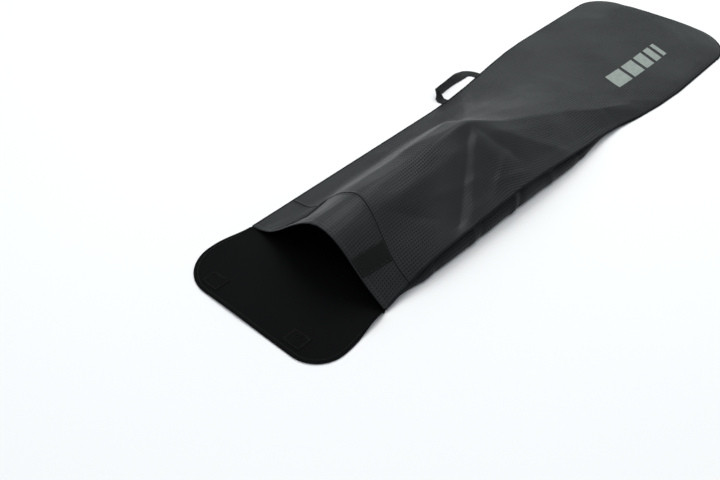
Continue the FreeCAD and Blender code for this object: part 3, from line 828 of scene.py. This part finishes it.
def stitches(name, runs, pitch=3.6, long=2.7, thick=0.75):
    """Short rounded stitches along runs of (points, normals) in metres, joined into one piece."""
    vertices, faces = [], []
    rings = ((-1.0, 0.25), (-0.75, 0.8), (0.0, 1.0), (0.75, 0.8), (1.0, 0.25))
    sides = 6
    for points, normals in runs:
        run = lengths(points[:, None], 0)[:, 0]
        count = max(1, int(run[-1] / (pitch * MM)))
        for i in range(count):
            mid = (i + 0.5) / count * run[-1]
            p = value_at(points, run, mid)
            n = value_at(normals, run, mid)
            t = value_at(points, run, mid + 0.001) - value_at(points, run, mid - 0.001)
            t = t / max(np.linalg.norm(t), 1e-9)
            side = np.cross(t, n)
            side /= max(np.linalg.norm(side), 1e-9)
            n = np.cross(side, t)
            base = len(vertices)
            for along, wide in rings:
                sink = (1 - wide) * thick * 0.35 * MM
                for j in range(sides):
                    a = 2 * math.pi * j / sides
                    off = side * math.cos(a) + n * math.sin(a)
                    middle = p + t * (along * long / 2 * MM)
                    vertices.append(middle + off * (wide * thick / 2 * MM) - n * sink)
            for r in range(len(rings) - 1):
                for j in range(sides):
                    k = (j + 1) % sides
                    faces.append((base + r * sides + j, base + r * sides + k,
                                  base + (r + 1) * sides + k, base + (r + 1) * sides + j))
            faces.append(tuple(base + j for j in reversed(range(sides))))
            faces.append(tuple(base + (len(rings) - 1) * sides + j for j in range(sides)))
    return new_object(name, vertices, faces, (THREAD,))


def surface_run(line, v, raised):
    """Points and normals of the upper side along a line of s and v, raised by so many millimetres."""
    s = np.stack([line - 2.0, line, line + 2.0])
    vv = np.broadcast_to(v, s.shape).copy()
    p = to_frame(upper_points(s, vv))
    n = grid_normals(p)[1]
    return p[1] + n * raised * MM, n


def cuff_stitching():
    v = np.linspace(0.012, 0.988, 240)
    runs = [surface_run(cuff_line(v) + 2.6, v, 1.45), surface_run(mouth_line(v) + 8.2, v, 0.7)]
    obj = stitches("cuff_topstitching", runs)
    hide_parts("cuff_stitching")
    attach(obj, "sack")


# Hook and loop -----

RIGHT_PATCH = (0.722, 0.828)
LEFT_PATCH = (0.165, 0.25)
PATCH_SKEW = 0.03
PATCH_START = 3.0
PATCH_STOP = 1.5


def patch_edge(i, j, rows, cols):
    """0 on a patch's border and 1 from one step inside it, at fractions i and j along and across."""
    return np.clip(np.minimum(np.minimum(i, 1 - i) * rows, np.minimum(j, 1 - j) * cols), 0, 1)


def loop_patch(name, v0, v1, cad):
    """A pile patch on the cuff, from hem to seam, with its fuzz standing a little ragged."""
    i = steps(80)[:, None]
    j = steps(40)[None, :]
    s, vv = strip_between(PATCH_START, PATCH_STOP, 80, np.linspace(v0, v1, 40))
    vv = vv + PATCH_SKEW * i
    base = upper_points(s, vv)
    n = grid_normals(to_frame(base)) * TO_FRAME_SIGNS
    edge = patch_edge(i, j, 70, 34)
    fuzz = soft_noise(base[..., 0], base[..., 1], base[..., 2], 2.6, 7.0)
    high = 0.9 + 0.9 * np.sqrt(edge) + 0.45 * fuzz * edge
    obj = cloth(name, base + n * high[..., None], 0.9, (LOOP, LOOP))
    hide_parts(cad)
    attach(obj, "sack")


def border(corners, count):
    """Pairs of arrays that go along each side of a four-cornered border in turn."""
    k = steps(count)
    for (a0, b0), (a1, b1) in zip(corners, corners[1:] + corners[:1]):
        yield a0 + (a1 - a0) * k, b0 + (b1 - b0) * k


def patch_runs(v0, v1):
    """The sewn line just inside a patch's border."""
    inset = (v1 - v0) * 0.06
    corners = ((v0 + inset, 0.05), (v1 - inset, 0.05), (v1 - inset, 0.94), (v0 + inset, 0.94))
    runs = []
    for v, t in border(corners, 40):
        start = mouth_line(v) + PATCH_START
        s = start + (cuff_line(v) - PATCH_STOP - start) * t
        v = v + PATCH_SKEW * t
        side = np.array((-0.004, 0.0, 0.004))[None, :]
        ahead = np.array((-2.0, 0.0, 2.0))[None, :]
        across_p = to_frame(upper_points(np.repeat(s[:, None], 3, 1), v[:, None] + side))
        along_p = to_frame(upper_points(s[:, None] + ahead, np.repeat(v[:, None], 3, 1)))
        n = np.cross(along_p[:, 2] - along_p[:, 0], across_p[:, 0] - across_p[:, 2])
        n /= np.linalg.norm(n, axis=1, keepdims=True)
        n *= np.sign(n[:, 2:3])
        runs.append((across_p[:, 1] + n * 2.0 * MM, n))
    return runs


def loop_stitching():
    runs = patch_runs(*RIGHT_PATCH) + patch_runs(*LEFT_PATCH)
    obj = stitches("loop_patch_stitching", runs, 3.0, 2.2, 0.6)
    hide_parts("loop_stitching")
    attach(obj, "sack")


# Flap -----


def flap_half(d, side, inset=0.0):
    """The flap's side edge at distance d from the mouth; it widens a little and has rounded corners."""
    more, over = FLAP_WIDENS[side]
    wide = (left_line(0) if side < 0 else right_line(0)) + side * more * ease(d / over)
    radius = FLAP_CORNERS[side]
    pull = corner(d, FLAP_LENGTH - inset, radius - inset)
    return wide - side * (inset + pull)


def flap_height(d, c):
    """How the flap lies: nearly flat, waving a little."""
    wave = soft_noise(d, c, 0 * d, 120.0, 3.0)
    return 1.6 + 2.2 * np.clip(wave + 0.25, 0, 1) * ease(d / 60.0)


def flap_surface(d, c, high=0.0):
    """Points (s, c, z) so high above the flap's cloth, whose right edge curls up near the mouth."""
    z = flap_height(d, c)
    edge = flap_half(np.maximum(d, 0), 1)
    roll = CURL * ease((d + 2.0) / 18.0) * ease((92.0 - d) / 66.0) + 0.001
    angle = roll * np.clip(1 - (edge - c) / CURL_REACH, 0, 1)
    radius = CURL_REACH / roll
    flat = np.minimum(c, edge - CURL_REACH)
    flat = flat + (CURL_REACH - radius * np.sin(roll)) * ease((flat - 270.0) / 90.0)
    c = flat + (radius - high) * np.sin(angle)
    z = z + radius * (1 - np.cos(angle)) + high * np.cos(angle)
    return np.stack([-d, c, z], -1)


def flap_sheet(d):
    """Distance from the mouth and c over the flap's cloth, between its two side edges."""
    t = np.concatenate([np.linspace(0.0, 0.93, 100), np.linspace(0.93, 1.0, 26)[1:]])[None, :]
    inset = 1.5 + 9.0 * ease(-d / 12.0)
    a = (flap_half(np.maximum(d, 0), -1) + inset)[:, None]
    b = (flap_half(np.maximum(d, 0), 1) - inset)[:, None]
    c = a + (b - a) * t
    return np.broadcast_to(d[:, None], c.shape), c


def bends_at(piece):
    """Bakes the piece's placement into its mesh."""
    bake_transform(piece)


def flap():
    """The closing flap: one cloth from inside the mouth to its tip, in two pieces that meet."""
    d, c = flap_sheet(np.linspace(-24.0, FLAP_ROOT, 40))
    root = cloth("flap_root_cloth", flap_surface(d, c)[:, ::-1], CLOTH_T, (INNER, SHELL))
    widest = max(FLAP_CORNERS.values())
    rim = FLAP_LENGTH - widest
    turn = rim + (widest - 1.5) * np.sin(np.linspace(0.0, math.pi / 2, 48))
    d, c = flap_sheet(np.concatenate([np.linspace(FLAP_ROOT, rim, 34), turn[1:]]))
    main = cloth("flap_cloth", flap_surface(d, c)[:, ::-1], CLOTH_T, (INNER, SHELL))
    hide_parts("flap_base_panel", "flap_tip_panel")
    bends_at(root)
    bends_at(main)
    return main


def side_path(side, inset, d0, d1):
    """(d, c) along one side edge of the flap, from distance d0 to d1."""
    d = np.linspace(d0, d1, max(2, int((d1 - d0) / 3)))
    return np.stack([d, flap_half(d, side, inset)], -1)


def rim_path(inset):
    """(d, c) along the flap's rim at an inset: out on the left, across the tip, back on the right."""
    turn = np.linspace(0, math.pi / 2, 26)[1:]
    ends = []
    for side in (-1, 1):
        radius = FLAP_CORNERS[side]
        rim = FLAP_LENGTH - radius
        middle = float(flap_half(np.array([rim]), side, radius)[0])
        r = radius - inset
        arc = np.stack([rim + r * np.sin(turn), middle + side * r * np.cos(turn)], -1)
        ends.append((side_path(side, inset, FLAP_ROOT, rim), arc, middle))
    (left, left_arc, c0), (right, right_arc, c1) = ends
    tip = np.stack([np.full(60, FLAP_LENGTH - inset), np.linspace(c0, c1, 62)[1:-1]], -1)
    return np.concatenate([left, left_arc, tip, right_arc[::-1], right[::-1]])


# The flap's hem in section: how far in from the rim, and how high.
HEM_ROLL = ((0.0, 0.0), (0.7, 0.42), (3.0, 0.55), (6.0, 0.5), (8.2, 0.32), (9.0, 0.45), (10.0, 0.05))
HEM_T = 1.6


def flap_hems():
    """The turned hem round the flap, in one piece beyond its root and one short piece each side of it."""
    rows = [flap_surface(*rim_path(inset).T, high) for inset, high in HEM_ROLL]
    whole = cloth("flap_hem_cloth", np.stack(rows, 1)[:, ::-1], HEM_T, (INNER, SHELL))
    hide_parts("flap_base_hem_left", "flap_base_hem_right", "flap_tip_hem")
    bends_at(whole)
    line = to_frame(flap_surface(*rim_path(8.6).T, 0.95))
    thread = stitches("flap_hem_stitching", [(line, np.tile(UP, (len(line), 1)))], 4.0, 2.9, 0.7)
    bends_at(thread)
    for side, word in ((-1, "left"), (1, "right")):
        rows = [flap_surface(*side_path(side, inset, 2.0, FLAP_ROOT).T, high) for inset, high in HEM_ROLL]
        grid = np.stack(rows, 1)
        if side < 0:
            grid = grid[:, ::-1]
        piece = cloth("flap_root_hem_" + word, grid, HEM_T, (INNER, SHELL))
        bends_at(piece)


STUD_PITCH = 2.4
HOOK_SEWN = 3.0


def hook_patches():
    """The two hook patches near the flap's tip, and the stitching just inside their borders."""
    runs = []
    for cad in ("hook_patch_left", "hook_patch_right"):
        lo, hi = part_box(cad)
        s = np.linspace(lo.x, hi.x, 34)[:, None] / MM + HALF
        c = MIDDLE - np.linspace(hi.y, lo.y, 40)[None, :] / MM
        s, c = np.broadcast_arrays(s, c)
        base = flap_height(-s, c)
        edge = patch_edge(steps(34)[:, None], steps(40)[None, :], 30, 34)
        studs = np.sin(s * 2 * math.pi / STUD_PITCH) * np.sin(c * 2 * math.pi / STUD_PITCH)
        high = 0.2 + 1.0 * np.sqrt(edge) + 0.35 * edge * studs
        obj = cloth(cad + "_tape", np.stack([s, c, base + high], -1), 0.8, (HOOK, HOOK))
        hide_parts(cad)
        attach(obj, "flap_tip")
        s0, s1 = lo.x / MM + HALF + HOOK_SEWN, hi.x / MM + HALF - HOOK_SEWN
        c0, c1 = MIDDLE - hi.y / MM + HOOK_SEWN, MIDDLE - lo.y / MM - HOOK_SEWN
        corners = ((s0, c0), (s0, c1), (s1, c1), (s1, c0))
        for ss, cc in border(corners, 20):
            line = to_frame(np.stack([ss, cc, flap_height(-ss, cc) + 1.3], -1))
            runs.append((line, np.tile(UP, (20, 1))))
    thread = stitches("hook_patch_stitching", runs, 3.0, 2.2, 0.6)
    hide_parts("hook_stitching")
    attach(thread, "flap_tip")


# Handle -----

# The loop lies on the floor: out from the sack's edge by HANDLE_REACH, along, and back, with bends of
# radius HANDLE_BENDS. It twists by HANDLE_LEAN by the end of its first bend and is flat again at its end.
HANDLE_FRONT = 706.0
HANDLE_BACK = 864.0
HANDLE_REACH = 34.0
HANDLE_BENDS = (10.0, 24.0)
HANDLE_SPREAD = 8.0
HANDLE_LEAN = math.radians(112)
HANDLE_EASES = (0.45, 0.97)
HANDLE_Z = 0.8
TAB = 9.0
TAB_GAP = 0.5
TAB_INSIDE = 5.5
TAB_Z = 1.6
TAB_RISE = 0.4
TACK_W = 24.0
TACK_INSET = 4.0
TACK_Z = 4.0
GAP = 0.3
WEBBING_W = 25.0
WEBBING_T = 1.6


def handle_axes():
    """The loop's front root, its directions along and away from the sack's edge, and its span."""
    front, back = (Vector((s - HALF, MIDDLE - float(left_line(s)), 0)) for s in (HANDLE_FRONT, HANDLE_BACK))
    along = (back - front).normalized()
    out = Vector((-along.y, along.x, 0))
    return front, along, out, (back - front).length


def handle_frame(t):
    """Centre, width direction and thickness direction of the webbing at t from 0 to 1."""
    front, along, out, span = handle_axes()
    start = TAB + GAP
    legs = [HANDLE_REACH - start - r for r in HANDLE_BENDS]
    arcs = [r * math.pi / 2 for r in HANDLE_BENDS]
    straight = span + 2 * HANDLE_SPREAD - sum(HANDLE_BENDS)
    total = sum(legs) + sum(arcs) + straight
    d = t * total
    back = total - d
    if d < legs[0]:
        p = (0.0, start + d)
        heading = math.pi / 2
    elif d < legs[0] + arcs[0]:
        r = HANDLE_BENDS[0]
        a = (d - legs[0]) / r
        p = (r - r * math.cos(a), HANDLE_REACH - r + r * math.sin(a))
        heading = math.pi / 2 - a
    elif back > legs[1] + arcs[1]:
        p = (HANDLE_BENDS[0] + d - legs[0] - arcs[0], HANDLE_REACH)
        heading = 0.0
    elif back > legs[1]:
        r = HANDLE_BENDS[1]
        a = (arcs[1] + legs[1] - back) / r
        p = (HANDLE_BENDS[0] + straight + r * math.sin(a), HANDLE_REACH - r + r * math.cos(a))
        heading = -a
    else:
        p = (sum(HANDLE_BENDS) + straight, start + back)
        heading = -math.pi / 2
    tangent = along * math.cos(heading) + out * math.sin(heading)
    level = along * math.sin(heading) - out * math.cos(heading)
    twist = HANDLE_LEAN * float(ease(d / (legs[0] + arcs[0])))
    from_t, to_t = HANDLE_EASES
    twist += (math.pi - HANDLE_LEAN) * float(ease((t - from_t) / (to_t - from_t)))
    width = level * math.cos(twist) + Vector((0, 0, 1)) * math.sin(twist)
    normal = tangent.cross(width)
    centre = front + along * (p[0] - HANDLE_SPREAD) + out * p[1]
    centre.z = HANDLE_Z + abs(width.z) * WEBBING_W / 2 + abs(normal.z) * WEBBING_T / 2
    return centre, width, normal


def ribbon(name, frames, wide, thick, material):
    """Flat webbing through a list of (centre, width direction, normal), thinner at its selvedges."""
    cols = 15
    x = np.linspace(-1, 1, cols)
    selvedge = np.where(np.abs(x) > 0.86, 0.55, 1.0) + 0.075 * np.cos(x * math.pi * 5)
    top, low = [], []
    for centre, width, normal in frames:
        c, w, n = (np.array(a) for a in (centre, width, normal))
        top.append(c + w * (x * wide / 2)[:, None] + n * (selvedge * thick / 2)[:, None])
        low.append(c + w * (x * wide / 2)[:, None] - n * (selvedge * thick / 2)[:, None])
    top = np.array(top) * MM
    low = np.array(low) * MM
    vertices = np.concatenate([top.reshape(-1, 3), low.reshape(-1, 3)])
    uv = np.stack([np.broadcast_to(x * wide / 2 * MM, top.shape[:2]), lengths(top, 0)], -1).reshape(-1, 2)
    faces = np.concatenate(sheet_faces(len(frames), cols)[:3])
    return new_object(name, vertices, faces, (material,), np.concatenate([uv, uv]))


def handle():
    frames = [handle_frame(i / 220) for i in range(221)]
    loop = ribbon("handle_loop", frames, WEBBING_W, WEBBING_T, WEBBING)
    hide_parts("handle_webbing")
    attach(loop, "handle")
    along, out = handle_axes()[1:3]
    runs = []
    for cad, t in (("handle_tab_front", 0.0), ("handle_tab_back", 1.0)):
        root = handle_frame(t)[0]
        frames = []
        for i in range(12):
            f = i / 11
            p = root - out * (TAB_GAP + f * (TAB + TAB_INSIDE))
            p.z = TAB_Z + TAB_RISE * f
            frames.append((p, along, Vector(UP)))
        tab = ribbon(cad + "_webbing", frames, WEBBING_W, WEBBING_T, WEBBING)
        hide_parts(cad)
        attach(tab, "sack")
        for shift in (-1.2, 0.0, 1.2):
            s = root.x + HALF + TACK_W * (steps(24) - 0.5)
            line = np.stack([s, left_line(s) + TACK_INSET + shift, np.full(24, TACK_Z)], -1)
            runs.append((to_frame(line), np.tile(UP, (24, 1))))
    tacks = stitches("handle_tack_stitching", runs, 1.5, 1.4, 0.8)
    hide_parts("handle_bartacks")
    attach(tacks, "sack")


def mouth_tacks():
    """Dense tacks across the bead of both side seams, just inside the mouth."""
    over = np.linspace(-0.8, 0.8, 10)
    for side in ("left", "right"):
        runs = []
        for k in range(6):
            s = 4.0 + 1.2 * k
            if side == "left":
                c = left_edge(s, BEAD_IN_LEFT) + over * BEAD_W / 2
                middle = SEAM_T / 2 + BEAD_UP_LEFT
            else:
                c = right_edge(s, BEAD_IN_RIGHT) - over * BEAD_W / 2
                middle = float(right_lift(s)) + SEAM_T / 2 + BEAD_UP_RIGHT
            z = middle + BEAD_T / 2 * np.sqrt(1 - over ** 2) + 0.2
            p = to_frame(np.stack([np.full(10, s), c, z], -1))
            runs.append((p, np.tile(UP, (10, 1))))
        tack = stitches("mouth_bartack_" + side + "_stitching", runs, 1.6, 1.5, 0.8)
        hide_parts("mouth_bartack_" + side)
        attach(tack, "sack")


# Printed mark -----


def find_v(s, c):
    """The fraction across at which the upper side, at s, lies over c."""
    v = np.linspace(0.05, 0.95, 181)
    out = np.empty_like(s)
    for i in range(s.shape[0]):
        for j in range(s.shape[1]):
            row = tent(np.full_like(v, s[i, j]), v)[0]
            out[i, j] = np.interp(c[i, j], row, v)
    return out


BAR_LEAN = 26.0
INK_LIFT = 0.35
INK_T = 0.25


def printed_mark():
    """A row of leaning bars, laid on the cloth over the same places as the CAD's."""
    for number in range(1, 6):
        cad = "mark_bar_%d" % number
        lo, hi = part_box(cad)
        s0, s1 = lo.x / MM + HALF, hi.x / MM + HALF
        c0, c1 = MIDDLE - hi.y / MM, MIDDLE - lo.y / MM
        i = steps(15)[:, None]
        j = steps(13)[None, :]
        s = s0 + (s1 - s0 - BAR_LEAN) * i + BAR_LEAN * (1 - j)
        c = c0 + (c1 - c0) * j + 0 * i
        v = find_v(s, c)
        p = upper_points(s, v, INK_LIFT)
        obj = cloth(cad + "_ink", p, INK_T, (INK, INK))
        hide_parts(cad)
        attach(obj, "sack")


# Build -----

top_piece = top_panel()
cuff_piece = cuff()
cuff_seam()
hem()
lower_piece = lower_panel()
seams()
cuff_stitching()
loop_patch("loop_patch_right_pile", *RIGHT_PATCH, "loop_patch_right")
loop_patch("loop_patch_left_pile", *LEFT_PATCH, "loop_patch_left")
loop_stitching()
flap_main = flap()
flap_hems()
hook_patches()
handle()
mouth_tacks()
printed_mark()


FLOOR_HALF = 9.0
FLOOR_GAP = 0.0006
SKY_LOW = (0.4, 0.42, 0.49)
SKY_HIGH = (0.8, 0.86, 0.85)
SKY_TOWARDS = (0.66, 0.42, 0.6)

# Area lights: name, place, where it points, side in metres, watts.
LIGHTS = (("key", (1.5, 1.3, 3.5), (0.2, 0.0, 0.0), 2.6, 88.0),
          ("fill", (-1.2, 0.2, 3.6), (-0.2, -0.2, 0.0), 3.4, 34.0))


def studio():
    """Pale floor, a big soft key from above the handle's side, a fill, and an even surround."""
    corners = [(x * FLOOR_HALF, y * FLOOR_HALF, 0) for x, y in ((-1, -1), (1, -1), (1, 1), (-1, 1))]
    floor = new_object("floor", corners, [(0, 1, 2, 3)], (floor_material(),), smooth=False)
    floor.location.z = -FLOOR_GAP
    world = bpy.data.worlds.new("studio")
    world.use_nodes = True
    tree = world.node_tree
    facing = tree.nodes.new("ShaderNodeVectorMath")
    facing.operation = "DOT_PRODUCT"
    facing.inputs[1].default_value = SKY_TOWARDS
    tree.links.new(tree.nodes.new("ShaderNodeTexCoord").outputs["Generated"], facing.inputs[0])
    glow = mix_colour(tree, ramp(tree, facing.outputs["Value"], -0.5, 0.9), SKY_LOW, SKY_HIGH)
    tree.links.new(glow, tree.nodes["Background"].inputs[0])
    tree.nodes["Background"].inputs[1].default_value = 1.0
    bpy.context.scene.world = world
    for name, place, target, wide, power in LIGHTS:
        data = bpy.data.lights.new(name, "AREA")
        data.shape = "SQUARE"
        data.size = wide
        data.energy = power
        lamp = add(name, data)
        lamp.location = place
        lamp.rotation_mode = "QUATERNION"
        lamp.rotation_quaternion = (Vector(target) - Vector(place)).to_track_quat("-Z", "Y")


def camera():
    """Looks down at 41 degrees from beyond the mouth's right corner."""
    data = bpy.data.cameras.new("camera")
    data.sensor_width = 36.0
    data.lens = 40.0
    cam = add("camera", data)
    cam.location = (-1.6125, -0.8809, 1.1282)
    cam.rotation_euler = (math.radians(49.0), 0.0, math.radians(-47.76))
    bpy.context.scene.camera = cam


studio()
camera()
bpy.context.scene.view_settings.view_transform = "Standard"
